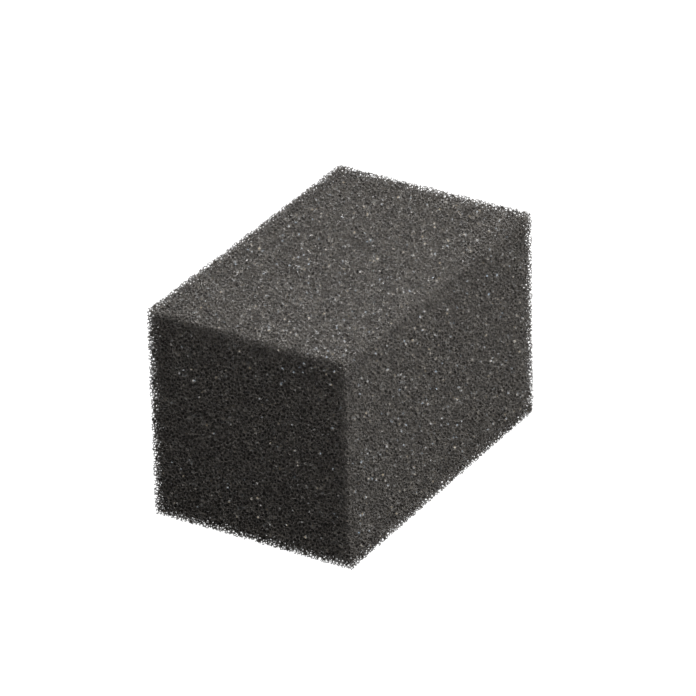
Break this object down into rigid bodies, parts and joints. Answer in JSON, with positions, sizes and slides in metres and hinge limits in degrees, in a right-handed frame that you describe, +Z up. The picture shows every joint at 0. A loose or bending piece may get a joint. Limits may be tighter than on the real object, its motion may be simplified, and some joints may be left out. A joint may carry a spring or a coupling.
{
  "type": "filter foam block",
  "caption": "Rectangular block of dark open-cell foam that strains and biologically filters pond or aquarium water, cut square on every side.",
  "frame": {"origin": "centre of the base, on the face that the block stands on", "axes": "+X along the block's length, +Y across its width, +Z up"},
  "size_m": [0.1, 0.06, 0.06],
  "materials": {
    "foam": "open-cell charcoal polyurethane foam, matte with small glints from its struts"
  },
  "bodies": {
    "root": {"foam_block": "foam"}
  },
  "joints": []
}
